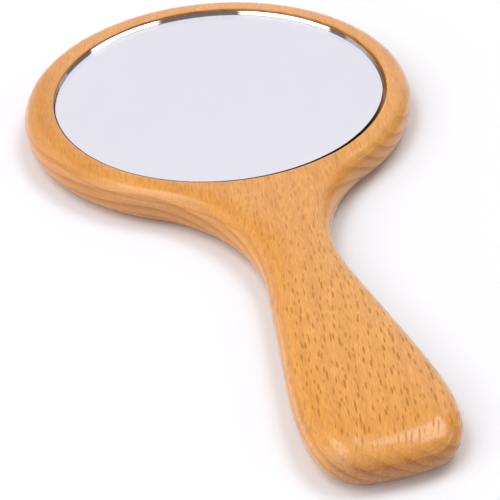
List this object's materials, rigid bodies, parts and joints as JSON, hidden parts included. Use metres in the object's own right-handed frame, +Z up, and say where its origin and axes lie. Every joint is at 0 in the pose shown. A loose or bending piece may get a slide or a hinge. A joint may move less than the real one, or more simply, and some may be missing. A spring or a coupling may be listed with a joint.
{
  "type": "hand mirror",
  "caption": "Round hand mirror with a one-piece wooden head and paddle handle, glass disc seated in a shallow round recess.",
  "frame": {"origin": "on the table, at the centre of the bottom of the whole outline", "axes": "+Z up, out of the mirror's face; +Y along the handle towards the head; +X to the right seen from above with the head away"},
  "size_m": [0.1246, 0.2442, 0.012],
  "materials": {
    "wood": "satin lacquered beech, grain along the handle",
    "glass": "clear polished float glass with a ground edge",
    "silver": "bright silvering behind the glass",
    "paint": "matt grey protective paint on the back of the silvering",
    "foam": "white double-sided foam tape"
  },
  "bodies": {
    "root": {"wood_body": "wood", "mirror_glass": "glass", "silver_layer": "silver", "backing_paint": "paint", "adhesive_pad_1": "foam", "adhesive_pad_2": "foam", "adhesive_pad_3": "foam", "adhesive_pad_4": "foam", "adhesive_pad_5": "foam"}
  },
  "joints": []
}
